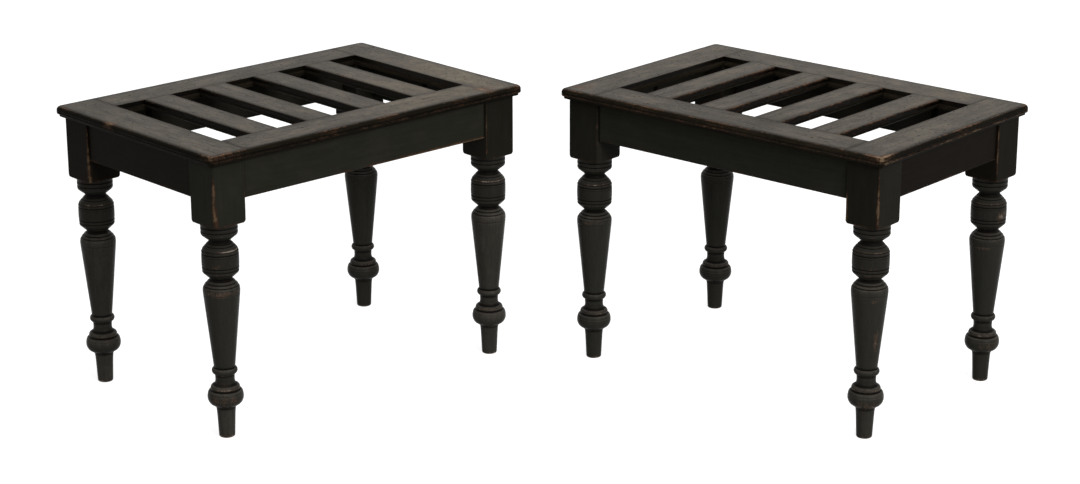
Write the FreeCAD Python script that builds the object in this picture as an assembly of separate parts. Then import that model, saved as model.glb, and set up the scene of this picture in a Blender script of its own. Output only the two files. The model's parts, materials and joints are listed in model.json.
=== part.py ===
import FreeCAD, Part
import math
import os

# A pair of luggage stools in ebonised pine. Each has a slatted top that the case lies on, four aprons tenoned
# into the square heads of four ring-turned legs, and screws in pockets that hold the top down on the aprons.
# X runs along the pair, Y goes away from the front and Z is up. The origin is on the floor, under the middle of
# the box round both stools. Lengths are in millimetres and angles in degrees.

# How the two stools stand: the clear width between them, how much nearer the right one is, and their turns
stool_gap = 59.0
right_stool_forward = 10.5
left_stool_angle = 43.0
right_stool_angle = -41.2

# Top: a frame of four boards round a row of slats
stool_height = 450.0
top_length = 612.0
top_depth = 403.0
frame_thickness = 16.0
end_board_width = 69.0
long_board_width = 66.0
slat_width = 51.0
slat_thickness = 13.0
slat_count = 4
slat_arris = 1.5

# Moulding round the outer edge of the top
corner_radius = 5.0
crown_radius = 6.0
lip_ease = 2.0
nose_height = 12.0
nose_step = 4.0

# Joints of the top
frame_tenon_length = 40.0
frame_tenon_thickness = 6.0
frame_tenon_shoulder = 10.0
slat_tenon_length = 20.0
slat_tenon_thickness = 5.0
slat_tenon_shoulder = 6.0

# Aprons and their joints with the legs
top_overhang = 12.0
apron_height = 61.0
apron_thickness = 19.0
apron_setback = 3.5
apron_arris = 1.5
tenon_thickness = 9.0
tenon_bottom_shoulder = 6.0
haunch_height = 15.0
haunch_length = 12.0
mitre_gap = 0.6
joint_clearance = 0.1
tenon_end_gap = 1.0

# Pockets and the screws in them
pocket_inset = 82.0
pocket_tilt = 22.0
pocket_radius = 6.0
pocket_floor_depth = 9.0
screw_radius = 2.0
screw_head_radius = 4.0
screw_head_height = 2.6
screw_bite = 10.0
screw_clearance = 0.05

# Square head of the leg
block_side = 57.5
block_length = 97.0
block_arris = 1.5
block_corner_trim = 3.0
block_trim_height = 5.0

# Turned part of the leg, from the floor up
foot_length = 49.0
foot_tip_radius = 12.2
foot_root_radius = 15.0
foot_rounding = 2.5
ball_lower_height = 15.0
ball_upper_height = 12.5
ball_radius = 27.0
collar_height = 6.5
collar_radius = 22.0
collar_top_radius = 19.6
ankle_cove_height = 8.0
ankle_radius = 14.6
ankle_height = 9.5
bead_height = 10.5
bead_radius = 19.4
shaft_foot_radius = 16.2
shaft_top_radius = 27.8
shoulder_height = 19.0
neck_radius = 16.1
neck_height = 1.8
drum_height = 56.0
drum_radius = 27.9
flank_height = 8.5
flank_rounding = 3.5
flank_top_radius = 25.8
ring_height = 27.0

# Lengths that follow from the sizes above
underside = stool_height - frame_thickness
block_bottom = underside - block_length
leg_face_x = top_length / 2 - top_overhang
leg_face_y = top_depth / 2 - top_overhang
leg_x = leg_face_x - block_side / 2
leg_y = leg_face_y - block_side / 2
slot_end_y = top_depth / 2 - long_board_width
slat_span = top_length - 2 * end_board_width
slot_width = (slat_span - slat_count * slat_width) / (slat_count + 1)
tenon_length = block_side - apron_setback - (apron_thickness - tenon_thickness) / 2

# How far the rounds of the turned part bow out from straight, from 0 for flat to 1 for a quarter ellipse
ball_fullness_share = 0.75
cove_fullness_share = 0.7
shoulder_fullness_share = 0.8

# Sides of the rings that the turned parts are built from, and of small round things
ring_sides = 18
rod_sides = 10

# How far a cutter runs past the face that it starts from
overrun = 5.0

vector = FreeCAD.Vector
up = vector(0, 0, 1)


def turned(shape, degrees):
    """A copy of the shape, turned about the upright axis through the middle of the stool."""
    copy = shape.copy()
    copy.rotate(vector(0, 0, 0), up, degrees)
    return copy


def quarter_turned(shape, quarters):
    """A copy of the shape, turned about the upright axis by a number of right angles."""
    return turned(shape, math.degrees(quarters * math.pi / 2))


def moved(shape, x=0.0, y=0.0, z=0.0):
    """A copy of the shape, shifted."""
    copy = shape.copy()
    copy.translate(vector(x, y, z))
    return copy


def block(x_range, y_range, z_range):
    """A box between the lowest and highest value on each axis."""
    low, high = zip(x_range, y_range, z_range)
    sides = [end - start for start, end in zip(low, high)]
    return Part.makeBox(*sides, vector(*low))


def outline(points, bends=None):
    """A closed wire through the points. A bend is the middle point of the arc that leaves a point."""
    bends = bends or {}
    edges = []
    for number, start in enumerate(points):
        end = points[(number + 1) % len(points)]
        if number in bends:
            edges.append(Part.Arc(start, bends[number], end).toShape())
        else:
            edges.append(Part.LineSegment(start, end).toShape())
    return Part.Wire(edges)


def rounded_section(width, height, radius):
    """A flat rectangle in the XY plane with round corners, its lower left corner at the origin."""
    # The middle of a quarter arc lies this share of the radius in from each side.
    inset = radius * (1 - math.sqrt(0.5))
    points = [
        vector(radius, 0, 0), vector(width - radius, 0, 0),
        vector(width, radius, 0), vector(width, height - radius, 0),
        vector(width - radius, height, 0), vector(radius, height, 0),
        vector(0, height - radius, 0), vector(0, radius, 0),
    ]
    bends = {
        1: vector(width - inset, inset, 0),
        3: vector(width - inset, height - inset, 0),
        5: vector(inset, height - inset, 0),
        7: vector(inset, inset, 0),
    }
    return Part.Face(outline(points, bends))


def eased_section(width, height, ease):
    """A flat rectangle in the XY plane with its corners cut off, its lower left corner at the origin."""
    return Part.Face(outline([
        vector(ease, 0, 0), vector(width - ease, 0, 0),
        vector(width, ease, 0), vector(width, height - ease, 0),
        vector(width - ease, height, 0), vector(ease, height, 0),
        vector(0, height - ease, 0), vector(0, ease, 0),
    ]))


def eased_bar(length, width, height, ease):
    """A bar along X with its four long arrises eased. Its section starts at the origin, its length is centred."""
    section = eased_section(width, height, ease)
    section.rotate(vector(0, 0, 0), vector(1, 1, 1), 120)
    section.translate(vector(-length / 2, 0, 0))
    return section.extrude(vector(length, 0, 0))


def ring(sides, radius, height):
    """Corners of a many-sided ring round the upright axis."""
    step = 2 * math.pi / sides
    return [
        vector(radius * math.cos(step * number), radius * math.sin(step * number), height)
        for number in range(sides)
    ]


def flat(corners):
    """The flat face between corners."""
    return Part.Face(Part.makePolygon(corners + corners[:1]))


def ring_stack(points):
    """A turned form: flat faces between many-sided rings, each given as radius and height, going up."""
    rings = [ring(ring_sides, radius, height) for radius, height in points]
    faces = [flat(rings[0][::-1]), flat(rings[-1])]
    for lower, upper in zip(rings, rings[1:]):
        for number in range(ring_sides):
            after = (number + 1) % ring_sides
            faces.append(flat([lower[number], lower[after], upper[after], upper[number]]))
    return Part.Solid(Part.Shell(faces))


def rod(radius, length, start, axis):
    """A straight rod from its start along an axis."""
    shape = flat(ring(rod_sides, radius, 0)).extrude(vector(0, 0, length))
    shape.Placement = FreeCAD.Placement(start, FreeCAD.Rotation(up, axis))
    return shape


def moulded_section(width):
    """Section of the top across its full width: a round crown over an eased lip, stepped in above the apron."""
    crown = crown_radius * (1 - math.sqrt(0.5))
    step_height = frame_thickness - nose_height
    side = [
        (nose_step, 0),
        (nose_step, step_height),
        (lip_ease, step_height),
        (0, step_height + lip_ease),
        (0, frame_thickness - crown_radius),
        (crown_radius, frame_thickness),
    ]
    left = [vector(0, inward - width / 2, height) for inward, height in side]
    right = [vector(0, width / 2 - inward, height) for inward, height in reversed(side)]
    bends = {
        4: vector(0, crown - width / 2, frame_thickness - crown),
        6: vector(0, width / 2 - crown, frame_thickness - crown),
    }
    return Part.Face(outline(left + right, bends))


def moulded_top():
    """The whole top as one slab with its moulding mitred round the corners. The boards are sawn from it."""
    along = moulded_section(top_depth).extrude(vector(top_length, 0, 0))
    along.translate(vector(-top_length / 2, 0, 0))
    across = moulded_section(top_length).extrude(vector(top_depth, 0, 0))
    across.translate(vector(-top_depth / 2, 0, 0))
    across = quarter_turned(across, 1)
    plan = rounded_section(top_length, top_depth, corner_radius).extrude(vector(0, 0, frame_thickness))
    plan.translate(vector(-top_length / 2, -top_depth / 2, 0))
    slab = along.common(across).common(plan)
    return moved(slab, z=underside)


def slat_middles():
    """Distance of the middle of each slat from the middle of the stool, along the stool."""
    pitch = slat_width + slot_width
    return [pitch * (number - (slat_count - 1) / 2) for number in range(slat_count)]


def frame_tenon(clearance=0.0, end_gap=0.0):
    """Tenon of the front long board into the left end board, or the mortise for it."""
    joint_x = top_length / 2 - end_board_width
    outer_y = -top_depth / 2 + frame_tenon_shoulder
    inner_y = -slot_end_y - frame_tenon_shoulder
    middle_z = underside + frame_thickness / 2
    half = frame_tenon_thickness / 2 + clearance
    return block(
        (-joint_x - frame_tenon_length - end_gap, -joint_x),
        (outer_y - clearance, inner_y + clearance),
        (middle_z - half, middle_z + half),
    )


def slat_tenon(middle, clearance=0.0, end_gap=0.0):
    """Tenon of a slat into the front long board, or the mortise for it."""
    half_width = slat_width / 2 - slat_tenon_shoulder + clearance
    middle_z = stool_height - slat_thickness / 2
    half = slat_tenon_thickness / 2 + clearance
    return block(
        (middle - half_width, middle + half_width),
        (-slot_end_y - slat_tenon_length - end_gap, -slot_end_y),
        (middle_z - half, middle_z + half),
    )


def screw_axis():
    """Direction of a pocket screw, from its tip down into the pocket, on an apron whose outer face looks to -Y."""
    tilt = math.radians(pocket_tilt)
    return vector(0, math.sin(tilt), -math.cos(tilt))


def screw_exit(x):
    """Point where a pocket screw leaves the top edge of an apron, in the apron's own place."""
    return vector(x, apron_thickness / 2, apron_height)


def screw_hole(x):
    """Bore for the screw from the pocket's floor up into the board above the apron."""
    axis = screw_axis()
    start = screw_exit(x) - axis * (screw_bite + joint_clearance)
    length = screw_bite + joint_clearance + pocket_floor_depth + overrun
    return rod(screw_radius + screw_clearance, length, start, axis)


def pocket(x):
    """Slanting pocket bored into the inner face of an apron, with a flat floor for the screw's head."""
    axis = screw_axis()
    start = screw_exit(x) + axis * pocket_floor_depth
    length = apron_thickness / math.sin(math.radians(pocket_tilt))
    return rod(pocket_radius, length, start, axis)


def screw(x):
    """Wood screw with a cheese head on the pocket's floor and its shank in the board above."""
    axis = screw_axis()
    seat = screw_exit(x) + axis * pocket_floor_depth
    tip = screw_exit(x) - axis * screw_bite
    head = rod(screw_head_radius, screw_head_height, seat, axis)
    shank = rod(screw_radius, pocket_floor_depth + screw_bite, tip, axis)
    return head.fuse(shank).removeSplitter()


def apron_tenon(shoulder_x):
    """Haunched tenon at the right end of an apron. Its end is mitred where the next apron's tenon meets it."""
    outer_y = (apron_thickness - tenon_thickness) / 2
    inner_y = outer_y + tenon_thickness
    long_side = shoulder_x + tenon_length - mitre_gap
    bottom = tenon_bottom_shoulder
    height = apron_height - haunch_height - tenon_bottom_shoulder
    plan = Part.Face(outline([
        vector(shoulder_x, outer_y, bottom),
        vector(long_side, outer_y, bottom),
        vector(long_side - tenon_thickness, inner_y, bottom),
        vector(shoulder_x, inner_y, bottom),
    ]))
    tenon = plan.extrude(vector(0, 0, height))
    haunch = block(
        (shoulder_x, shoulder_x + haunch_length),
        (outer_y, inner_y),
        (bottom + height, apron_height),
    )
    return tenon.fuse(haunch)


def apron(shoulder_length, pocket_places):
    """Apron in its own place: outer face at Y zero, bottom edge at Z zero, middle of its length at X zero."""
    rail = eased_bar(shoulder_length, apron_thickness, apron_height, apron_arris)
    right = apron_tenon(shoulder_length / 2)
    left = right.mirror(vector(0, 0, 0), vector(1, 0, 0))
    body = rail.fuse([right, left]).removeSplitter()
    cutters = [pocket(x) for x in pocket_places] + [screw_hole(x) for x in pocket_places]
    return body.cut(Part.makeCompound(cutters))


def apron_places():
    """For each apron: shoulder length, pocket places, outward distance of its face and its quarter turns."""
    long_shoulder = 2 * (leg_face_x - block_side)
    short_shoulder = 2 * (leg_face_y - block_side)
    long_pocket = long_shoulder / 2 - pocket_inset
    long_pockets = [-long_pocket, long_pocket]
    long_out = leg_face_y - apron_setback
    short_out = leg_face_x - apron_setback
    return {
        "front": (long_shoulder, long_pockets, long_out, 0),
        "right": (short_shoulder, [0], short_out, 1),
        "back": (long_shoulder, long_pockets, long_out, 2),
        "left": (short_shoulder, [0], short_out, 3),
    }


def on_apron_side(shape, outward, quarters):
    """Takes a shape made in an apron's own place to that apron's side of the stool."""
    return quarter_turned(moved(shape, y=-outward, z=underside - apron_height), quarters)


def every_screw(make):
    """Makes a screw, or the hole for one, at every pocket of the stool."""
    shapes = []
    for _, places, outward, quarters in apron_places().values():
        shapes += [on_apron_side(make(x), outward, quarters) for x in places]
    return shapes


def rounding(start, end, fullness, steps):
    """Points between two ends of a round, of which the second is the fullest part of the form.

    Fullness 1 is a quarter of an ellipse that meets the second end upright, and 0 is the straight chord.
    """
    points = []
    for step in range(1, steps):
        share = step / steps
        angle = share * math.pi / 2
        bow = (math.sin(angle), 1 - math.cos(angle))
        radius, height = [
            low + (high - low) * (share + fullness * (bent - share))
            for low, high, bent in zip(start, end, bow)
        ]
        points.append((radius, height))
    return points


def rise(start, end, fullness, steps):
    """A round that swells going up, with both its ends."""
    return [start] + rounding(start, end, fullness, steps) + [end]


def fall(start, end, fullness, steps):
    """A round that draws in going up, with both its ends."""
    return rise(end, start, fullness, steps)[::-1]


def flank_up(height):
    """Side of a neck that slopes out and up from the neck's radius to the drum's."""
    straight = height + flank_height - flank_rounding
    return [(neck_radius, height), (flank_top_radius, straight), (drum_radius, height + flank_height)]


def flank_down(height):
    """Side of a drum that slopes in and up from the drum's radius to the neck's."""
    straight = height - flank_height + flank_rounding
    return [(drum_radius, height - flank_height), (flank_top_radius, straight), (neck_radius, height)]


def leg_outline():
    """Half outline of the turned part as points (radius, height), going up from the floor."""
    ball_middle = foot_length + ball_lower_height
    ball_top = ball_middle + ball_upper_height
    collar_top = ball_top + collar_height
    cove_top = collar_top + ankle_cove_height
    bead_bottom = cove_top + ankle_height
    shaft_bottom = bead_bottom + bead_height
    drum_top = block_bottom - ring_height - neck_height
    drum_bottom = drum_top - drum_height
    shoulder_top = drum_bottom - neck_height
    shaft_top = shoulder_top - shoulder_height

    foot = [(foot_tip_radius - foot_rounding, 0), (foot_tip_radius, foot_rounding)]
    ball = rise((foot_root_radius, foot_length), (ball_radius, ball_middle), ball_fullness_share, 3)
    ball += fall((ball_radius, ball_middle), (collar_radius, ball_top), ball_fullness_share, 2)[1:]
    collar = [(collar_radius, collar_top - collar_height / 2), (collar_top_radius, collar_top)]
    # The cove is hollow: its bow is the reverse of a round's.
    cove = fall((collar_top_radius, collar_top), (ankle_radius, cove_top), -cove_fullness_share, 2)[1:]
    bead = [
        (ankle_radius, bead_bottom),
        (bead_radius, bead_bottom + bead_height / 3),
        (bead_radius, shaft_bottom - bead_height / 3),
    ]
    shaft = [(shaft_foot_radius, shaft_bottom)]
    shoulder = fall((shaft_top_radius, shaft_top), (neck_radius, shoulder_top), shoulder_fullness_share, 3)
    drum = flank_up(drum_bottom) + flank_down(drum_top)
    ring_under_block = flank_up(drum_top + neck_height) + [(drum_radius, block_bottom + overrun)]
    return foot + ball + collar + cove + bead + shaft + shoulder + drum + ring_under_block


def leg_head():
    """Square head, its lower corners taken off by the lathe."""
    section = eased_section(block_side, block_side, block_arris)
    section.translate(vector(-block_side / 2, -block_side / 2, block_bottom))
    head = section.extrude(vector(0, 0, block_length))
    # The rings' flats lie inside their corners, so the trim starts from a ring drawn round the head's corner.
    corner = block_side * math.sqrt(0.5) / math.cos(math.pi / ring_sides)
    trim = ring_stack([
        (corner - block_corner_trim, block_bottom),
        (corner, block_bottom + block_trim_height),
        (corner, underside + overrun),
    ])
    return head.common(trim)


def mortise():
    """Mortise in the head for the tenon that comes in from the +X side, open at the top for the haunch."""
    inner_x = block_side / 2
    far_x = inner_x - tenon_length - tenon_end_gap
    outer_y = -block_side / 2 + apron_setback + (apron_thickness - tenon_thickness) / 2
    y_range = (outer_y - joint_clearance, outer_y + tenon_thickness + joint_clearance)
    apron_bottom = underside - apron_height
    low = apron_bottom + tenon_bottom_shoulder - joint_clearance
    high = underside - haunch_height + joint_clearance
    deep = block((far_x, inner_x + overrun), y_range, (low, high))
    shallow_x = inner_x - haunch_length - tenon_end_gap
    shallow = block((shallow_x, inner_x + overrun), y_range, (high - overrun, underside + overrun))
    return deep.fuse(shallow)


def leg():
    """Leg on its own axis, mortised on its +X and +Y sides."""
    from_x = mortise()
    from_y = from_x.mirror(vector(0, 0, 0), vector(1, -1, 0))
    body = leg_head().fuse(ring_stack(leg_outline()))
    return body.cut(Part.makeCompound([from_x, from_y]))


def legs():
    """The four legs. Each turn of a quarter brings the mortises to the inner sides of the next corner."""
    one = leg()
    corners = {
        "leg_front_left": (-leg_x, -leg_y, 0),
        "leg_front_right": (leg_x, -leg_y, 1),
        "leg_back_right": (leg_x, leg_y, 2),
        "leg_back_left": (-leg_x, leg_y, 3),
    }
    return {
        name: moved(quarter_turned(one, quarters), x=x, y=y)
        for name, (x, y, quarters) in corners.items()
    }


def aprons():
    """The four aprons with their pockets."""
    pieces = {}
    for side, (shoulder_length, pocket_places, outward, quarters) in apron_places().items():
        pieces["apron_" + side] = on_apron_side(apron(shoulder_length, pocket_places), outward, quarters)
    return pieces


def top_boards():
    """The two end boards, the two long boards between them and the slats between those."""
    slab = moulded_top()
    joint_x = top_length / 2 - end_board_width
    all_heights = (underside - overrun, stool_height + overrun)
    past_x = top_length / 2 + overrun
    past_y = top_depth / 2 + overrun

    # End board on the left, with a mortise at each end
    near_mortise = frame_tenon(joint_clearance, tenon_end_gap)
    far_mortise = near_mortise.mirror(vector(0, 0, 0), vector(0, 1, 0))
    end_board = slab.common(block((-past_x, -joint_x), (-past_y, past_y), all_heights))
    end_board = end_board.cut(Part.makeCompound([near_mortise, far_mortise]))

    # Front long board, with a tenon at each end and a mortise for each slat
    left_tenon = frame_tenon()
    right_tenon = left_tenon.mirror(vector(0, 0, 0), vector(1, 0, 0))
    slat_mortises = [slat_tenon(middle, joint_clearance, tenon_end_gap) for middle in slat_middles()]
    long_board = slab.common(block((-joint_x, joint_x), (-past_y, -slot_end_y), all_heights))
    long_board = long_board.fuse([left_tenon, right_tenon]).cut(Part.makeCompound(slat_mortises))

    boards = {
        "end_board_left": end_board,
        "end_board_right": quarter_turned(end_board, 2),
        "long_board_front": long_board,
        "long_board_back": quarter_turned(long_board, 2),
    }
    holes = Part.makeCompound(every_screw(screw_hole))
    pieces = {name: board.cut(holes) for name, board in boards.items()}

    # Slats, flush with the top of the frame
    for number, middle in enumerate(slat_middles(), start=1):
        bar = eased_bar(2 * slot_end_y, slat_width, slat_thickness, slat_arris)
        bar = moved(quarter_turned(bar, 1), x=middle + slat_width / 2, z=stool_height - slat_thickness)
        front_tenon = slat_tenon(middle)
        back_tenon = front_tenon.mirror(vector(0, 0, 0), vector(0, 1, 0))
        pieces["slat_%d" % number] = bar.fuse([front_tenon, back_tenon]).removeSplitter()
    return pieces


def stool():
    """Every piece of one stool, standing square with its middle on the origin."""
    pieces = legs()
    pieces.update(aprons())
    pieces.update(top_boards())
    pieces["pocket_screws"] = Part.makeCompound(every_screw(screw))
    return pieces


def half_extents(angle):
    """Half the length along X and along Y that the top covers at an angle."""
    cosine = abs(math.cos(math.radians(angle)))
    sine = abs(math.sin(math.radians(angle)))
    straight_x = top_length / 2 - corner_radius
    straight_y = top_depth / 2 - corner_radius
    along = straight_x * cosine + straight_y * sine + corner_radius
    across = straight_x * sine + straight_y * cosine + corner_radius
    return along, across


def stool_middles():
    """Middle of the left and of the right stool, so that the box round the pair is centred on the origin."""
    left_x, left_y = half_extents(left_stool_angle)
    right_x, right_y = half_extents(right_stool_angle)
    half_width = left_x + stool_gap / 2 + right_x
    front = min(-left_y, -right_stool_forward - right_y)
    back = max(left_y, -right_stool_forward + right_y)
    middle_y = (front + back) / 2
    left = (left_x - half_width, -middle_y)
    right = (half_width - right_x, -right_stool_forward - middle_y)
    return left, right


os.makedirs("parts", exist_ok=True)
left_middle, right_middle = stool_middles()
stools = (("left", left_middle, left_stool_angle), ("right", right_middle, right_stool_angle))
for side, (x, y), angle in stools:
    for name, piece in stool().items():
        placed = moved(turned(piece, angle), x=x, y=y)
        placed.exportStep("parts/%s_%s.step" % (side, name))
print("stools at", left_middle, right_middle, "slot width", round(slot_width, 2))
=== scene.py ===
import json
import math

import bpy
import numpy as np
from bpy.props import FloatProperty, FloatVectorProperty, IntProperty, PointerProperty
from mathutils import Euler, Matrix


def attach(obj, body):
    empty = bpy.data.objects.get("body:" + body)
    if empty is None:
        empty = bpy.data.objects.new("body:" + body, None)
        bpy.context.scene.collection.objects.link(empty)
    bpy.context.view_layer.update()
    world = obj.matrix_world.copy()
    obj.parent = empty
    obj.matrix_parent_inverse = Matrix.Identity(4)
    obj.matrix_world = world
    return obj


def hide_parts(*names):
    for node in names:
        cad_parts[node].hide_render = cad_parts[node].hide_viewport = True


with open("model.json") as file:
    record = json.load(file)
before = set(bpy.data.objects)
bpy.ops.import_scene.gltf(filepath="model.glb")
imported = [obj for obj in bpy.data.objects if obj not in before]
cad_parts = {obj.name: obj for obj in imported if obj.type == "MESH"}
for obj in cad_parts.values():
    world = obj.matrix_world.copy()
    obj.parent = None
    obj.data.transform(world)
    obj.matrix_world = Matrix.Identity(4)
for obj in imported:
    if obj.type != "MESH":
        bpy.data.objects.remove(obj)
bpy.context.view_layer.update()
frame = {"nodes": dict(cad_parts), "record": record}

bl_info = {
    "name": "Luggage Stools",
    "version": (1, 0, 0),
    "blender": (4, 5, 0),
    "location": "3D View > Sidebar > Stools",
    "description": "Dresses a pair of slatted luggage stools in worn ebonised pine",
    "category": "Object",
}

MM = 0.001
SIDES = ("left", "right")
CORNERS = ("front_left", "front_right", "back_right", "back_left")
APRONS = ("front", "right", "back", "left")
MOUNTS = {mount["name"]: np.array(mount["pos_m"]) for mount in frame["record"]["mounts"]}


# Where the stools stand


class Stool:
    """One stool: its middle on the floor and its own level axes, read from the places of its feet."""

    def __init__(self, side):
        self.side = side
        self.body = side + "_stool"
        feet = [MOUNTS[f"{side}_foot_{corner}"] for corner in CORNERS]
        self.middle = np.mean(feet, axis=0)
        along = feet[1] - feet[0]
        self.along = along / np.linalg.norm(along)
        self.across = np.array([-self.along[1], self.along[0], 0.0])
        self.top = MOUNTS[side + "_top"][2]

    def to_local(self, points):
        """Points of the pair's frame, along the stool's own axes."""
        away = points - self.middle
        return np.stack([away @ self.along, away @ self.across, away[:, 2]], axis=1)

    def to_frame(self, points):
        """Points along the stool's own axes, in the pair's frame."""
        turned = points[:, :1] * self.along + points[:, 1:2] * self.across
        return self.middle + turned + points[:, 2:] * np.array([0.0, 0.0, 1.0])

    def box(self, part):
        """Lowest and highest corner of a CAD node, along the stool's own axes."""
        mesh = frame["nodes"][f"{self.side}_{part}"].data
        flat = np.zeros(len(mesh.vertices) * 3, np.float32)
        mesh.vertices.foreach_get("co", flat)
        local = self.to_local(flat.reshape(-1, 3).astype(float))
        return local.min(axis=0), local.max(axis=0)


STOOLS = {side: Stool(side) for side in SIDES}


# Settings


class StoolSizes(bpy.types.PropertyGroup):
    """Sizes of what the finish and the wear add to the solids."""

    leg_sides: IntProperty(name="Leg sides", description="Sides of a turned leg's rings", default=80, min=24)
    turned_step: FloatProperty(
        name="Turned step", description="Height between the rings of a turned leg where it is curved",
        default=0.9 * MM, unit="LENGTH")
    board_step: FloatProperty(
        name="Board step", description="Width of a board's grid", default=2.5 * MM, unit="LENGTH")
    arris: FloatProperty(
        name="Arris", description="Radius of an edge that was sanded and then worn",
        default=1.3 * MM, unit="LENGTH")
    slat_arris: FloatProperty(
        name="Slat arris", description="Radius of the upper edges of a slat, which bags have rubbed round",
        default=2.6 * MM, unit="LENGTH")
    joint_arris: FloatProperty(
        name="Joint arris", description="Radius of the edges at a joint, which shows as a fine line",
        default=0.45 * MM, unit="LENGTH")
    hollow: FloatProperty(
        name="Hollow", description="Depth of the waves that a hand plane left",
        default=0.12 * MM, unit="LENGTH")


class StoolColours(bpy.types.PropertyGroup):
    """Colour of the studio floor, as linear values."""

    floor: FloatVectorProperty(
        name="Floor", description="Colour of the studio floor", subtype="COLOR", size=3,
        default=(0.4, 0.4, 0.4))


def linear(code):
    """A colour written as six hex digits of sRGB, as linear red, green, blue and alpha."""
    shares = [int(code[place:place + 2], 16) / 255 for place in (1, 3, 5)]
    return [s / 12.92 if s <= 0.04045 else ((s + 0.055) / 1.055) ** 2.4 for s in shares] + [1.0]


# Shaping


def soft_noise(coordinates, wavelength, seed, waves=9):
    """Smooth noise about zero: the mean of plane waves of random direction and phase, near one wavelength."""
    rng = np.random.default_rng(seed)
    direction = rng.normal(size=(waves, coordinates.shape[-1]))
    direction /= np.linalg.norm(direction, axis=1)[:, None]
    stretch = rng.uniform(0.6, 1.6, waves) * 2 * math.pi / wavelength
    phase = rng.uniform(0, 2 * math.pi, waves)
    swings = np.sin(coordinates @ (direction * stretch[:, None]).T + phase)
    return swings.mean(axis=-1) * math.sqrt(waves / 4)


def bell(distance, width):
    """A bell: exp of minus the squared distance over the squared width."""
    return np.exp(-(distance / width) ** 2)


def rising(value, middle, spread):
    """A share that goes from 0 to 1 about a middle: 1 over 1 plus exp of the way to it over the spread."""
    return 1 / (1 + np.exp((middle - value) / spread))


def dents(coordinates, low, high, count, radius, depth, seed):
    """Depth of round dents: the sum of bells over the distance from random middles."""
    rng = np.random.default_rng(seed)
    total = np.zeros(coordinates.shape[:-1])
    for middle, size in zip(rng.uniform(low, high, (count, 2)), rng.uniform(0.5, 1.3, count)):
        total += depth * size * bell(np.linalg.norm(coordinates - middle, axis=-1), radius * size)
    return total


def grain_place(points, order, seed):
    """Places in the wood, with the grain along the first axis and its start at random."""
    return points[:, order] + np.random.default_rng(seed).uniform(0, 3, 3)


def grid_numbers(rows, columns):
    """The numbers of a grid's points."""
    return np.arange(rows * columns).reshape(rows, columns)


def grid_quads(rows, columns, around):
    """Faces of a grid of rows by columns of points, closed round the columns if asked."""
    grid = grid_numbers(rows, columns)
    if around:
        grid = np.hstack([grid, grid[:, :1]])
    return np.stack([grid[:-1, :-1], grid[:-1, 1:], grid[1:, 1:], grid[1:, :-1]], axis=-1).reshape(-1, 4)


def add_object(name, data):
    """A new object in the scene."""
    made = bpy.data.objects.new(name, data)
    bpy.context.scene.collection.objects.link(made)
    return made


def add_piece(stool, part, suffix, points, faces, fields, finishes):
    """Puts points along the stool's own axes and groups of faces into one mesh, in place of a node.

    The groups take the finishes in turn, and the last finish goes on for the groups that are left.
    """
    mesh = bpy.data.meshes.new(f"{stool.side}_{part}_{suffix}")
    sizes = np.concatenate([np.full(len(group), group.shape[1]) for group in faces])
    corners = np.concatenate([group.ravel() for group in faces])
    mesh.vertices.add(len(points))
    mesh.loops.add(len(corners))
    mesh.polygons.add(len(sizes))
    mesh.vertices.foreach_set("co", stool.to_frame(points).astype(np.float32).ravel())
    mesh.polygons.foreach_set("loop_start", np.cumsum(sizes) - sizes)
    mesh.polygons.foreach_set("vertices", corners)
    mesh.polygons.foreach_set("use_smooth", sizes == 4)
    turns = [np.full(len(group), min(number, len(finishes) - 1)) for number, group in enumerate(faces)]
    mesh.polygons.foreach_set("material_index", np.concatenate(turns))
    mesh.update(calc_edges=True)
    mesh.validate()
    for name, values in fields.items():
        kind, key = ("FLOAT", "value") if values.ndim == 1 else ("FLOAT_VECTOR", "vector")
        mesh.attributes.new(name, kind, "POINT").data.foreach_set(key, values.astype(np.float32).ravel())
    for material in finishes:
        mesh.materials.append(material)
    piece = add_object(mesh.name, mesh)
    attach(piece, stool.body)
    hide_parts(f"{stool.side}_{part}")


# Turned legs

# Half outline of the turned part from the floor up: height and radius at the end of each stretch in mm, and
# its bow. Bow 1 is a quarter ellipse that goes out or in before it goes up, -1 goes up first, and 0 is
# straight.
TURNING = (
    (0.0, 9.6, 0.0), (2.5, 12.2, 1.0), (30.0, 13.6, 0.0), (48.4, 15.0, -0.3), (49.2, 16.6, 0.0),
    (51.8, 18.4, -0.6), (63.5, 27.3, 0.85), (69.0, 26.8, -1.0), (75.4, 23.3, -0.8), (76.2, 21.9, 0.0),
    (79.0, 22.2, 0.6), (83.2, 19.4, -0.8), (84.2, 17.6, 0.0), (91.5, 14.6, 0.75), (100.2, 14.9, 0.0),
    (101.2, 16.0, 0.0), (106.0, 19.5, 0.9), (110.6, 16.4, -0.9), (112.5, 16.2, 0.0), (228.0, 27.7, 0.0),
    (233.0, 27.9, 1.0), (239.4, 26.2, -0.8), (243.6, 23.0, -0.35), (249.0, 16.2, -0.45), (251.4, 16.1, 0.0),
    (260.2, 25.8, 0.12), (264.2, 27.6, 0.9), (278.0, 28.0, 0.5), (292.5, 27.8, -0.5), (296.4, 26.9, -0.9),
    (308.6, 16.3, -0.05), (310.8, 16.1, 0.0), (318.6, 25.9, 0.12), (322.4, 27.7, 0.9), (337.0, 27.9, 0.0),
)
HEAD_BOTTOM = TURNING[-1][0] * MM
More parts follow.
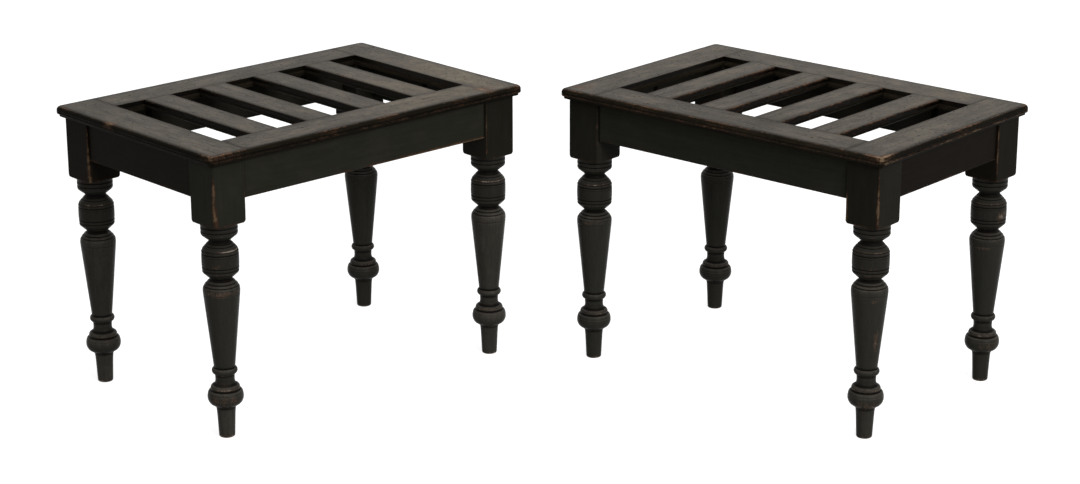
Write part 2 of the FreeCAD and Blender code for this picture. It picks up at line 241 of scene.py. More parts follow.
# Lines cut into it with the point of a chisel: height, depth and half width in mm
GROOVES = (
    (75.8, 1.0, 0.9), (83.6, 0.6, 0.7), (111.4, 0.6, 0.8), (228.4, 0.5, 0.7), (239.8, 1.3, 0.8),
    (244.4, 1.3, 0.8), (265.0, 1.4, 0.9), (270.2, 1.3, 0.9), (287.2, 0.6, 0.6), (290.7, 1.6, 0.9),
    (295.4, 1.6, 0.9), (302.4, 0.9, 0.7), (306.0, 0.8, 0.7), (325.2, 1.4, 0.9), (331.8, 1.5, 0.9),
)
# Ridges between them that are rubbed: height and half width in mm, and amount
RIDGES = (
    (49.0, 0.9, 0.45), (65.0, 6.0, 0.12), (79.6, 1.0, 0.62), (100.8, 1.1, 0.35), (106.5, 1.2, 0.20),
    (234.5, 3.0, 0.24), (242.0, 0.9, 0.20), (261.5, 1.2, 0.20), (293.0, 0.9, 0.20), (297.2, 1.0, 0.42),
    (321.5, 1.0, 0.25), (336.3, 0.9, 0.20),
)


def turned_outline(step):
    """Heights and radii of the turned part.

    Each stretch is straight, or blends towards a quarter ellipse by its bow. A groove takes a bell off it.
    """
    heights, radii = [TURNING[0][:1]], [TURNING[0][1:2]]
    for (z0, r0, _), (z1, r1, bow) in zip(TURNING, TURNING[1:]):
        long_stretch = bow == 0 and z1 - z0 > 12
        count = max(2, math.ceil(math.hypot(z1 - z0, r1 - r0) / (3 * step if long_stretch else step)))
        share = np.arange(1, count + 1) / count
        sine, rest = np.sin(share * math.pi / 2), 1 - np.cos(share * math.pi / 2)
        first, second = (rest, sine) if bow > 0 else (sine, rest)
        heights.append(z0 + (z1 - z0) * (share + abs(bow) * (first - share)))
        radii.append(r0 + (r1 - r0) * (share + abs(bow) * (second - share)))
    height, radius = np.concatenate(heights), np.concatenate(radii)
    spread = np.array([-2.0, -1.4, -1.0, -0.65, -0.3, 0.0, 0.3, 0.65, 1.0, 1.4, 2.0])
    across = np.concatenate([middle + spread * half for middle, _, half in GROOVES])
    every = np.union1d(height.round(3), across.round(3))
    radius = np.interp(every, height, radius)
    for middle, depth, half in GROOVES:
        radius = radius - depth * bell(every - middle, half)
    return every * MM, radius * MM


def off_flat(angle):
    """Angle from the middle of the nearest flat of the square head."""
    return np.abs((angle + math.pi / 4) % (math.pi / 2) - math.pi / 4)


def square_radius(angle, half, arris):
    """Distance from the axis to a square with rounded arrises.

    On a flat it is the half side over the cosine of the angle from the flat's middle. On an arris it solves
    the circle of the arris, whose middle lies on the diagonal.
    """
    fold = off_flat(angle)
    off_diagonal = math.pi / 4 - fold
    centre = (half - arris) * math.sqrt(2)
    round_part = centre * np.cos(off_diagonal) + np.sqrt(
        np.maximum(arris ** 2 - (centre * np.sin(off_diagonal)) ** 2, 0.0))
    return np.where(half * np.tan(fold) > half - arris, round_part, half / np.cos(fold))


def ring_angles(sides):
    """Even angles round the leg, with more of them at the arrises of the square head."""
    even = np.arange(sides) / sides * 360
    offsets = np.array([-5.0, -3.6, -2.6, -1.8, -1.1, -0.5, 0.0, 0.5, 1.1, 1.8, 2.6, 3.6, 5.0])
    corners = np.concatenate([45 + 90 * number + offsets for number in range(4)])
    near = np.min(np.abs(even[:, None] - corners[None, :]), axis=1) < 0.45
    return np.radians(np.sort(np.concatenate([even[~near], corners])))


def ring_places(angle, radius, heights):
    """Points of even rings, for noise that runs on round the leg."""
    return np.stack(np.broadcast_arrays(
        radius * np.cos(angle)[None, :], radius * np.sin(angle)[None, :], heights[:, None]), axis=-1)


# How far drying has put the turned part out of round, and the height over which that begins
OVAL, OVAL_START = 0.15 * MM, 30 * MM
# Heights where the drum begins and the foot ends, how softly, and how far up the floor has worn the foot
DRUM_START, FOOT_END, SOFTLY, FLOOR_WEAR = 248 * MM, 50 * MM, 3 * MM, 4 * MM
# Step of its running mean, how many of them the mean reaches and half its width in them
MEAN_STEP, MEAN_REACH, MEAN_HALF = 0.4 * MM, 20, 8.0
# How far the outline stands out where the wear is full, and lies in where the painted shade of a cove is full
FULL_WEAR, FULL_COVE_SHADE = 1.5 * MM, 0.55 * MM


def turned_surface(z, r, angle, worn_spots, tones, seed):
    """Radii, wear, painted shade and rub of the turned part, the rub with a painted highlight.

    Wear sits where the outline stands out from its own running mean, on the ridges and at the floor. Each
    worn spot is a bell over height times a bell over angle. Painted shade lies in the coves, where the
    outline lies in, and the turned part is darker above the drum's start. The rub is lighter on upward
    slopes as a painted highlight, with a tone that is lower above the drum and higher at the foot.
    """
    oval = OVAL * np.cos(2 * (angle - seed))[None, :]
    radius = r[:, None] - np.abs(oval) * np.clip(z / OVAL_START, 0, 1)[:, None]
    even_z = np.arange(0, HEAD_BOTTOM, MEAN_STEP)
    even_r = np.interp(even_z, z, r)
    kernel = bell(np.arange(-MEAN_REACH, MEAN_REACH + 1), MEAN_HALF)
    padded = np.pad(even_r, MEAN_REACH, mode="edge")
    mean_r = np.convolve(padded, kernel / kernel.sum(), mode="valid")
    stands_out = np.interp(z, even_z, even_r - mean_r)
    wear = np.clip(stands_out / FULL_WEAR, 0, 1) * 0.25 + bell(z, FLOOR_WEAR)
    for middle, half, rubbed in RIDGES:
        wear = wear + rubbed * bell(z / MM - middle, half)
    wear = wear[:, None] * (0.8 + 0.5 * soft_noise(ring_places(angle, 30 * MM, z), 33 * MM, seed + 3))
    for middle, half, facing, half_angle, amount in worn_spots:
        turned_by = (np.degrees(angle) - facing + 180) % 360 - 180
        wear = wear + amount * bell(z[:, None] / MM - middle, half) * bell(turned_by, half_angle)
    drum = rising(z, DRUM_START, SOFTLY)
    # Painted shade: darker in the coves, where the outline lies in from its running mean
    grime = np.clip(-stands_out / FULL_COVE_SHADE, 0, 1)[:, None] * np.clip(1.1 - 1.3 * wear, 0, 1)
    # Darker above the drum's start
    grime = np.clip(grime + 0.25 * drum[:, None], 0, 1)
    # Tone by height: less of the turned part's tone above the drum's start, and more at the foot
    tone_by_height = tones[0] * (1 - 0.8 * drum) + tones[2] * rising(-z, -FOOT_END, SOFTLY)
    # Painted highlight: lighter on upward slopes, where the radius shrinks going up
    rub = np.clip(-np.gradient(r, z) * 0.8 * (1 - 0.5 * drum) + tone_by_height, 0, 1)
    return radius, wear, grime, rub


# Rises in mm of the head's rings below the plain square, and how far the first ones have come out from the
# turned part, as shares: a narrow ledge, and then the lathe's rounding of the lower corners
HEAD_RISES = (0.0, 0.0, 0.0, 0.25, 0.6, 1.1, 1.8, 2.6, 3.6, 4.8, 6.2)
LEDGE = (0.04, 0.55, 0.97)
# Rings of the plain square, and how far the lower corners and the lower edge are rounded
PLAIN_RINGS, PLAIN_START, PLAIN_END = 36, 8.5 * MM, 0.2 * MM
TRIM_HEIGHT, TRIM, LOWER_ROUND = 5.5 * MM, 3.2 * MM, 0.3 * MM
# How softly the wear of an arris ends, as a share of the head, how far up the head's lower edge is worn,
# and how far down the painted shade under the top comes
WEAR_END, LOWER_WEAR, TOP_SHADE = 0.035, 2.4 * MM, 4 * MM


def head_surface(half, head_height, neck, angle, arris, worn_arrises, seed):
    """Rises, radii, wear and painted shade of a leg's square head.

    The radius stays within the diagonal less a quarter ellipse at the lower corners. Wear follows each
    arris as a bell over the distance from it, between two heights, and rounds it more.
    """
    rises = np.concatenate([
        np.array(HEAD_RISES) * MM, np.linspace(PLAIN_START, head_height - PLAIN_END, PLAIN_RINGS),
        [head_height]])
    ledge = np.ones((len(rises), 1))
    ledge[:len(LEDGE), 0] = LEDGE
    places = ring_places(angle, 40 * MM, HEAD_BOTTOM + rises)
    patches = 0.5 * soft_noise(places, 37 * MM, seed) + 0.4 * soft_noise(places, 11 * MM, seed + 1)
    quadrant = np.floor(angle / (math.pi / 2)).astype(int) % 4
    amount, width, start, end = np.array(worn_arrises)[quadrant].T[:, None, :]
    up = (rises / head_height)[:, None]
    window = rising(up, start, WEAR_END) * rising(-up, -end, WEAR_END)
    worn = np.clip(amount * window * (0.85 + patches), 0, 1.5)
    width = width * MM * (1.5 - 1.1 * up)
    arris = arris + 0.15 * width * worn
    to_trim = np.clip(1 - rises / TRIM_HEIGHT, 0, 1)[:, None]
    limit = half * math.sqrt(2) - arris * (math.sqrt(2) - 1) - TRIM * (1 - np.sqrt(1 - to_trim ** 2))
    limit = np.where(to_trim > 0, limit, np.inf)
    edge = np.minimum(square_radius(angle[None, :], half, arris), limit)
    edge = edge - LOWER_ROUND * np.exp(-rises[:, None] / LOWER_ROUND)
    wave = bpy.context.scene.stool_sizes.hollow * np.abs(soft_noise(places, 60 * MM, seed + 2))
    radius = neck + (edge - neck - wave) * ledge
    band = bell(half * (1 - np.tan(off_flat(angle))), width)
    lower_edge = bell(rises[:, None], LOWER_WEAR) * (ledge > 0.9)
    wear = np.clip(np.maximum(band * worn, lower_edge * (0.38 + 0.25 * worn)), 0, 1)
    # Painted shade: darker just under the top and in the corner of the ledge
    grime = bell(head_height - rises, TOP_SHADE)[:, None] * 0.8 + (ledge < 0.5)
    return rises, radius, wear, np.clip(grime, 0, 1) + np.zeros(len(angle))


def leg_surface(stool, corner, worn_arrises, worn_spots, tones, seed):
    """A leg as rings of points: turned circles up to the head, then squares with rounded arrises."""
    settings = bpy.context.scene.stool_sizes
    low, high = stool.box("leg_" + corner)
    middle = (low + high) / 2
    foot = stool.to_local(MOUNTS[f"{stool.side}_foot_{corner}"][None, :])[0]
    angle = ring_angles(settings.leg_sides)
    z, r = turned_outline(settings.turned_step / MM)
    turned, turned_wear, turned_darkening, rub = turned_surface(z, r, angle, worn_spots, tones, seed)
    rises, head, head_wear, head_shade = head_surface(
        (high[0] - low[0]) / 2, high[2] - HEAD_BOTTOM, r[-1], angle, settings.arris, worn_arrises, seed)
    radius = np.concatenate([turned, head])
    height = foot[2] + np.concatenate([z, HEAD_BOTTOM + rises])[:, None] + np.zeros(len(angle))
    points = np.stack([
        middle[0] + radius * np.cos(angle), middle[1] + radius * np.sin(angle), height],
        axis=-1).reshape(-1, 3)
    grid = grid_numbers(*radius.shape)
    columns = radius.shape[1]
    # These fields carry the painted shade of the coves and under the top, and the painted highlight of upward
    # slopes
    fields = {
        "grain": grain_place(points, (2, 0, 1), seed),
        "wear": np.concatenate([turned_wear, head_wear]).ravel(),
        "grime": np.concatenate([turned_darkening, head_shade]).ravel(),
        "rub": np.repeat(np.concatenate([rub, np.full(len(rises), tones[1])]), columns)}
    sides = grid_quads(*radius.shape, True)
    in_turned = np.repeat(np.arange(len(radius) - 1) < len(z) + 1, columns)
    return points, [sides[in_turned], grid[:1, ::-1], sides[~in_turned], grid[-1:]], fields


# Boards of the top


# Each edge of a board: the axis across it, and the sign of the way in
BOARD_EDGES = {"left": (0, 1), "right": (0, -1), "front": (1, 1), "back": (1, -1)}
# Radii of the top's corners, of its crown and of its lip, and the step under the lip
CORNER_RADIUS, CROWN_RADIUS, LIP = 11.0 * MM, 6.0 * MM, 2.0 * MM
NOSE_STEP, NOSE_STEP_HEIGHT, STEP_ROUND = 4.0 * MM, 4.0 * MM, 0.15 * MM
# Depth of the wear that moves a moulded edge in, and how far in it goes
CHIPPED, CHIP_REACH = 0.8 * MM, 7 * MM
# Dents of a top: the space that each has, their radius and depth
DENT_SPACE, DENT_RADIUS, DENT_DEPTH = 24 * MM, 1.6 * MM, 0.3 * MM
# How far in from an edge these reach: wear of the lower edge, dust, grime in a joint, less rubbing, more of
# the worn spots, and a face without waves and dents
LIP_WEAR, DUST, JOINT_GRIME = 1.4 * MM, 7 * MM, 0.6 * MM
LESS_RUBBED, SPOT_EDGE, EVEN_EDGE = 6.5 * MM, 5 * MM, 1.5 * MM
# How far below the top's face its rubbing ends
FACE_DEPTH = 1.2 * MM


def quarter_round(radius, count):
    """Insets and drops of a quarter circle: the radius less its cosine part, and less its sine part."""
    turn = np.linspace(0, math.pi / 2, count)
    return np.stack([radius * (1 - np.cos(turn)), radius * (1 - np.sin(turn))], axis=1)


def nose_profiles():
    """Top and bottom of the moulded edge as (inset, drop or rise), from the outside: crown, lip and step."""
    top = np.concatenate([quarter_round(CROWN_RADIUS, 9), [[CROWN_RADIUS + 0.6 * MM, 0.0]]])
    return top, np.concatenate([quarter_round(LIP, 5) + [0.0, NOSE_STEP_HEIGHT], [
        [NOSE_STEP - STEP_ROUND, NOSE_STEP_HEIGHT], [NOSE_STEP, NOSE_STEP_HEIGHT - STEP_ROUND],
        [NOSE_STEP, 0.4 * MM], [NOSE_STEP + 0.3 * MM, 0.0], [NOSE_STEP + 1.2 * MM, 0.0]]])


def plain_profiles(*arrises):
    """Top and bottom of a sawn edge as (inset, drop or rise), of the same length as the nose's."""
    return [
        np.concatenate([quarter_round(arris, 8), [[arris + 0.4 * MM, 0.0], [arris + 1.0 * MM, 0.0]]])
        for arris in arrises]


def axis_lines(low, high, low_profile, high_profile, step):
    """Grid lines across a board, and the drop on each: both profiles, with even steps between them."""
    start, end = low + low_profile[-1, 0], high - high_profile[-1, 0]
    inner = np.linspace(start, end, max(2, math.ceil((high - low) / step)) + 1)[1:-1]
    place = np.concatenate([low + low_profile[:, 0], inner, high - high_profile[::-1, 0]])
    return place, np.concatenate([low_profile[:, 1], np.zeros(len(inner)), high_profile[::-1, 1]])


def round_corner(a, b, radius):
    """Insets (a, b) of a mitred corner, moved onto a round one.

    On each line of equal inset, the stretch next to the mitre is laid on the arc about the corner's middle.
    """
    near, far = np.minimum(a, b), np.maximum(a, b)
    arc = radius - near
    inside = (far < radius) & (arc > 1e-9)
    turn = math.pi / 4 * (1 - np.where(inside, (far - near) / np.where(arc > 1e-9, arc, 1), 0))
    near = np.where(inside, radius - arc * np.cos(turn), near)
    far = np.where(inside, radius - arc * np.sin(turn), far)
    return np.where(a <= b, near, far), np.where(a <= b, far, near)


def chip_edges(points, low, high, moulded, seed):
    """Moves points near a moulded edge inwards: uneven wear along it, less by the square of the way in."""
    for side, (axis, sign) in BOARD_EDGES.items():
        if moulded[side]:
            away = (points[:, axis] - (low if sign > 0 else high)[axis]) * sign
            along = points[:, 1 - axis][:, None]
            uneven = 0.55 * soft_noise(along, 31 * MM, seed) + 0.45 * soft_noise(along, 9 * MM, seed + 1)
            chips = np.clip(soft_noise(along, 13 * MM, seed + 2) - 0.75, 0, 1) * 2.2
            cut = np.clip(CHIPPED * (0.35 + 0.35 * uneven + chips), 0, None)
            points[:, axis] += sign * cut * np.clip(1 - away / CHIP_REACH, 0, 1) ** 2


def board_wear(stool, points, on_top, low, high, strengths, joints, seed):
    """How far a board's top goes down, its wear and grime, the rubbing of its face and the dust on its edges.

    Planing waves and a few dents lower the top. Wear is a bell over the distance from a line along each
    edge, and more in the worn spots. Grime fills the edges that meet another board. The face is rubbed less
    near its edges.
    """
    plan = points[:, :2]
    count = int(np.prod((high - low)[:2]) / DENT_SPACE ** 2)
    pits = dents(plan, low[:2], high[:2], count, DENT_RADIUS, DENT_DEPTH, seed + 1)
    hollow = bpy.context.scene.stool_sizes.hollow
    waves = hollow * np.abs(soft_noise(plan, 70 * MM, seed)) * 0.8
    distance = np.abs(plan.T[[0, 0, 1, 1]] - np.stack([low, high]).T[:2].reshape(4, 1))
    nearest = np.min(distance, axis=0)
    patches = 0.85 + 0.3 * soft_noise(plan, 83 * MM, seed + 2) + 0.25 * soft_noise(plan, 19 * MM, seed + 3)
    wear, under, dust, grime = np.zeros((4, len(points)))
    rubbing = np.ones(len(points))
    for away, joint, (crown, lip, line, width, darkened, dusty) in zip(distance, joints, strengths):
        wear = np.maximum(wear, crown * bell(away - line, width))
        under = np.maximum(under, lip * bell(away, LIP_WEAR))
        dust = np.maximum(dust, dusty * bell(away, DUST))
        grime = np.maximum(grime, joint * bell(away, JOINT_GRIME))
        rubbing = rubbing * (1 - darkened * bell((away - line).clip(0), LESS_RUBBED))

    def spots(table):
        half = TOP_HALF[stool.side]
        return [
            amount * bell(np.linalg.norm(plan - np.array([x, y]) * half, axis=1), radius * MM)
            for x, y, radius, amount in table[stool.side]]

    wear = wear * patches + sum(spots(WORN_SPOTS)) * (0.55 + 0.45 * bell(nearest, SPOT_EDGE))
    wear = np.clip(np.where(on_top, wear, under * patches), 0, 1.2)
    down = (waves + pits) * on_top * np.clip(nearest / EVEN_EDGE, 0, 1)
    return down, wear, grime, rubbing * (1 + sum(spots(RUBBED_SPOTS))), dust


def board_surface(stool, low, high, profiles, moulded, strengths, joints, order, seed):
    """A board as two sheets over one grid, joined round their rims.

    The top sheet is the board's height less the larger drop of the two edge profiles at each crossing. The
    bottom sheet rises in the same way. Corners between two moulded edges are round in plan. Order puts the
    grain first.
    """
    step = bpy.context.scene.stool_sizes.board_step
    sheets = []
    for level in (0, 1):
        (xs, x_drop), (ys, y_drop) = [
            axis_lines(low[axis], high[axis], profiles[start][level], profiles[end][level], step)
            for axis, (start, end) in enumerate((("left", "right"), ("front", "back")))]
        x, y = np.meshgrid(xs, ys, indexing="ij")
        for x_edge, x_end, x_sign in (("left", low[0], 1), ("right", high[0], -1)):
            for y_edge, y_end, y_sign in (("front", low[1], 1), ("back", high[1], -1)):
                if moulded[x_edge] and moulded[y_edge]:
                    a, b = (x - x_end) * x_sign, (y - y_end) * y_sign
                    near = (a < CORNER_RADIUS) & (b < CORNER_RADIUS)
                    a, b = round_corner(a, b, CORNER_RADIUS)
                    x = np.where(near, x_end + x_sign * a, x)
                    y = np.where(near, y_end + y_sign * b, y)
        drop = np.maximum(x_drop[:, None], y_drop[None, :])
        sheets.append(np.stack([x, y, (low[2] + drop) if level else (high[2] - drop)], axis=-1))
    points = np.concatenate(sheets).reshape(-1, 3)
    grid = grid_numbers(*x.shape)
    quads = grid_quads(*x.shape, False)
    rim = np.concatenate([grid[:, 0], grid[-1, 1:], grid[-2::-1, -1], grid[0, -2:0:-1]])
    after = np.roll(rim, -1)
    wall = np.stack([rim, after, after + grid.size, rim + grid.size], axis=1)
    on_top = np.arange(len(points)) < grid.size
    flat = np.clip(1 - (high[2] - points[:, 2]) / FACE_DEPTH, 0, 1) * on_top
    edge_face = flat[quads].mean(axis=1) < 0.2
    down, wear, grime, rubbing, dust = board_wear(stool, points, on_top, low, high, strengths, joints, seed)
    chip_edges(points, low, high, moulded, seed + 7)
    points[:, 2] -= down
    fields = {
        "grain": grain_place(points, order, seed), "wear": wear, "grime": grime,
        "rub": flat * rubbing + (1 - flat) * dust}
    top = quads[:, ::-1]
    return points, [top[~edge_face], top[edge_face], quads + grid.size, wall], fields


# Aprons


# Pockets: from an end of a long apron, slant, radius of the bore and how deep its floor lies
POCKET_INSET, POCKET_TILT, POCKET_RADIUS, POCKET_FLOOR = 82 * MM, math.radians(22.0), 6.0 * MM, 9.0 * MM
# Grid lines of an apron: their step, and the reach and number of the fine ones across a pocket
APRON_STEP, FINE_REACH, FINE_LINES = 4 * MM, 7.5 * MM, 25


def apron_lines(length, pockets):
    """Places along an apron: even steps, with fine ones across each pocket."""
    even = np.linspace(-length / 2, length / 2, max(2, math.ceil(length / APRON_STEP)) + 1)
    clear = [np.abs(even - middle) > FINE_REACH + 0.7 * MM for middle in pockets]
    keep = np.all(clear, axis=0) | (np.abs(even) == length / 2)
    fine = [middle + np.linspace(-FINE_REACH, FINE_REACH, FINE_LINES) for middle in pockets]
    return np.sort(np.concatenate([even[keep], *fine]))


def apron_section(thickness, height, arris):
    """Points round an apron's section from its inner lower arris on: runs between quarter circles."""
    def run(x, start, end, count):
        return np.stack([np.full(count, x), np.linspace(start, end, count)], axis=1)[1:-1]

    def corner(x, y, number):
        bend = np.linspace(0, math.pi / 2, 6) + number * math.pi / 2
        return np.stack([x + arris * np.sin(bend), y - arris * np.cos(bend)], axis=1)

    far, up = thickness - arris, height - arris
    return np.concatenate([
        corner(far, arris, 0), run(thickness, arris, up, 44), corner(far, up, 1), [[thickness / 2, height]],
        corner(arris, up, 2), run(0.0, up, arris, 14), corner(arris, arris, 3), [[thickness / 2, 0.0]]])


def apron_surface(stool, part, turns, tone, seed):
    """An apron as a rounded section carried along its length, with pockets sunk into its inner face.

    A pocket is a slanting round bore with a flat floor: a point of the inner face goes in to the far wall
    of the bore, or to the floor where that comes first.
    """
    settings = bpy.context.scene.stool_sizes
    low, high = stool.box(part)
    lengthwise = turns % 2
    shoulder = -stool.box("leg_front_left")[1][lengthwise]
    thickness, height = (high - low)[1 - lengthwise], high[2] - low[2]
    outward = max(abs(low[1 - lengthwise]), abs(high[1 - lengthwise]))
    pockets = [0.0] if lengthwise else [POCKET_INSET - shoulder, shoulder - POCKET_INSET]
    x = apron_lines(2 * shoulder, pockets)
    section = apron_section(thickness, height, settings.arris)
    along, depth = np.meshgrid(x, section[:, 0], indexing="ij")
    rise = np.broadcast_to(section[:, 1], depth.shape)

    inner_face = depth > thickness - 1e-7
    axis_depth = thickness / 2 + (height - rise) * math.tan(POCKET_TILT)
    floor_depth = thickness / 2 + POCKET_FLOOR * math.sin(POCKET_TILT)
    floor_height = height - POCKET_FLOOR * math.cos(POCKET_TILT)
    floor_wall = floor_depth + (rise - floor_height) / math.tan(POCKET_TILT)
    pocket_wall = np.full(depth.shape, thickness)
    for middle in pockets:
        off = np.abs(along - middle)
        chord = np.sqrt(np.maximum(POCKET_RADIUS ** 2 - off ** 2, 0)) / math.cos(POCKET_TILT)
        wall = np.maximum(axis_depth - chord, floor_wall)
        pocket_wall = np.where(off < POCKET_RADIUS, np.minimum(pocket_wall, wall), pocket_wall)
    sunk = np.where(inner_face, np.maximum(thickness - pocket_wall, 0), 0)
    face = np.stack([along, rise], axis=-1)
    depth = depth - sunk + settings.hollow * np.abs(soft_noise(face, 80 * MM, seed)) * (depth < 1e-7)

    # Wear follows the lower arris. Painted shade lies under the top, in the pockets and on the inner face,
    # and grime at the joints with the legs
    patches = 0.55 + 0.55 * soft_noise(face, 70 * MM, seed + 1) + 0.35 * soft_noise(face, 16 * MM, seed + 2)
    near_low = bell(rise, 2.2 * MM) * bell(depth, 2.5 * MM)
    place, half_place, amount = WORN_APRONS.get((stool.side, part), (0, 1, 0))
    more = amount * bell(along / shoulder - place, half_place) * bell(rise, 3.6 * MM) * (depth < 3 * MM)
    # Painted shade: darker under the top, in the pockets and on the inner face
    grime = bell(height - rise, 3 * MM) * 0.8 + np.clip(sunk / (3 * MM), 0, 1) * 0.5 + 0.2 * inner_face
    # Grime in the joints with the legs
    grime = np.maximum(grime, bell(shoulder - np.abs(along), 1.2 * MM) * 0.8)
    local = np.stack([along, depth - outward, rise + low[2]], axis=-1).reshape(-1, 3)
    cosine, sine = math.cos(turns * math.pi / 2), math.sin(turns * math.pi / 2)
    points = local @ np.array([[cosine, sine, 0.0], [-sine, cosine, 0.0], [0.0, 0.0, 1.0]])
    fields = {
        "grain": grain_place(local, (0, 1, 2), seed),
        "wear": np.clip(near_low * patches * 0.85 + more, 0, 1).ravel(),
        "grime": np.clip(grime, 0, 1).ravel(), "rub": np.full(len(points), tone)}
    grid = grid_numbers(*along.shape)
    return points, [grid_quads(*along.shape, True)[:, ::-1], grid[:1], grid[-1:, ::-1]], fields


# Materials


def node(tree, kind, settings=None, links=None):
    """Adds one node: its settings by name, and its inputs by name or number as values or other sockets."""
    made = tree.nodes.new("ShaderNode" + kind)
    for name, value in (settings or {}).items():
        setattr(made, name, value)
    for name, value in (links or {}).items():
        socket = made.inputs[name]
        if isinstance(value, bpy.types.NodeSocket):
            tree.links.new(value, socket)
        else:
            socket.default_value = value
    return made


# What a row of a table can ask for: a node, its settings, the inputs that are filled and the output
STEPS = {
    "times": ("Math", {"operation": "MULTIPLY"}, (0, 1), 0),
    "times_plus": ("Math", {"operation": "MULTIPLY_ADD"}, (0, 1, 2), 0),
    "less": ("Math", {"operation": "SUBTRACT"}, (0, 1), 0),
    "larger": ("Math", {"operation": "MAXIMUM"}, (0, 1), 0),
    "rise": ("MapRange", {"interpolation_type": "SMOOTHSTEP"}, ("Value", "From Min", "From Max"), 0),
    "blend": ("Mix", {"data_type": "RGBA"}, (0, 6, 7), 2),
    "stretch": ("Mapping", {}, ("Vector", "Scale"), 0),
    "noise": ("TexNoise", {}, ("Vector", "Scale", "Detail", "Roughness"), 0),
}


def new_tree(owner):
    """The emptied node tree of a material or world."""
    owner.use_nodes = True
    owner.node_tree.nodes.clear()
    return owner.node_tree


def add_steps(tree, known, rows):
    """Adds the nodes of a table, row by row.

    A row is the name of its result, what it asks for, and its inputs. An input is a number or the name of
    something known: a value, a colour or the result of a row above.
    """
    for result, step, *inputs in rows:
        kind, settings, sockets, output = STEPS[step]
        links = {socket: known.get(value, value) for socket, value in zip(sockets, inputs)}
        known[result] = node(tree, kind, settings, links).outputs[output]


def per_mm(across, along=None):
    """Scale of a noise whose grains are that many mm across, and longer along the grain if asked."""
    across_scale = 1 / (across * MM)
    return (across_scale if along is None else 1 / (along * MM), across_scale, across_scale)


# The grain of pine is finer than shows from four metres, so it is drawn a few times as coarse
EBONISED_PINE = (
    ("fine place", "stretch", "grain", per_mm(1.7, 55)), ("fine", "noise", "fine place", 1.0, 4.0, 0.62),
    ("band place", "stretch", "grain", per_mm(7, 150)), ("bands", "noise", "band place", 1.0, 3.0, 0.6),
    ("patch place", "stretch", "grain", per_mm(34, 60)), ("patches", "noise", "patch place", 1.0, 4.0, 0.62),
    ("speck place", "stretch", "grain", per_mm(2.6, 5)), ("specks", "noise", "speck place", 1.0, 3.0, 0.7),
    ("scuff place", "stretch", "grain", per_mm(9, 14)), ("scuffs", "noise", "scuff place", 1.0, 4.0, 0.65),
    ("pore place", "stretch", "grain", per_mm(3, 5.5)), ("pores", "noise", "pore place", 1.0, 1.5, 0.5),
    # Black stain, and the rubbed stain in its place but for what the rubbing missed; on the turned parts the
    # rub also lightens upward slopes as a painted highlight
    ("half tone", "times", "bands", 0.45),
    ("tone", "times_plus", "fine", 0.55, "half tone"),
    ("brown share", "rise", "tone", 0.36, 0.66),
    ("stain", "blend", "brown share", "black", "brown"),
    ("dusty share", "rise", "tone", 0.38, 0.62),
    ("plain rubbed", "blend", "dusty share", "rubbed", "dusty"),
    ("warm patches", "rise", "patches", 0.46, 0.70),
    ("hard rubbed", "rise", "rub", 1.0, 2.0),
    ("warm share", "times_plus", "warm patches", 0.4, "hard rubbed"),
    ("rubbed stain", "blend", "warm share", "plain rubbed", "yellow"),
    ("dark specks", "times", "specks", 0.4),
    ("mottle", "times_plus", "scuffs", 0.6, "dark specks"),
    ("mottled", "rise", "mottle", 0.62, 0.36),
    ("dark patches", "rise", "patches", 0.64, 0.34),
    ("dark quarter", "times", "dark patches", 0.25),
    ("left dark", "times_plus", "mottled", 0.55, "dark quarter"),
    ("grain cracks", "rise", "fine", 0.60, 0.74),
    ("cracked places", "rise", "scuffs", 0.40, 0.60),
    ("crack lines", "times", "grain cracks", "cracked places"),
    ("missed", "times_plus", "crack lines", "cracks", "left dark"),
    ("missed share", "times", "missed", "mottling"),
    ("reached share", "less", 1.0, "missed share"),
    ("rub share", "rise", "rub", 0.0, 1.0),
    ("rubbed share", "times", "rub share", "reached share"),
    ("stained", "blend", "rubbed share", "stain", "rubbed stain"),
    # Worn through, thin stain first and bare wood last
    ("half ragged", "times_plus", "scuffs", 0.45, -0.5),
    ("ragged", "times_plus", "specks", 0.55, "half ragged"),
    ("near wear", "rise", "wear", 0.02, 0.25),
    ("ragged by", "times", "near wear", 2.4),
    ("reach", "times_plus", "ragged", "ragged by", "wear"),
    ("thin share", "rise", "reach", 0.22, 0.60),
    ("thinned", "blend", "thin share", "stained", "thin"),
    ("bare wood", "blend", "fine", "wood", "pale wood"),
    ("bare share", "rise", "reach", 0.60, 0.95),
    ("worn", "blend", "bare share", "thinned", "bare wood"),
    # Pits, closed-up grime and painted shade
    ("pitted", "rise", "pores", "pits", "full pits"),
    # Grime and painted shade darken the colour towards the dark of the pits
    ("grimy", "times", "grime", 0.9),
    ("dark", "larger", "pitted", "grimy"),
    ("colour", "blend", "dark", "worn", "soot"),
    # Sheen and relief
    ("scuffed shine", "times_plus", "scuffs", 0.4, "even roughness"),
    ("banded shine", "times_plus", "bands", 0.3, "scuffed shine"),
    ("shine", "times_plus", "dark", 0.3, "banded shine"),
    ("scuff relief", "times", "scuffs", 0.5),
    ("pit relief", "times_plus", "pitted", -1.2, "scuff relief"),
    ("height", "times_plus", "fine", "streaks", "pit relief"),
)
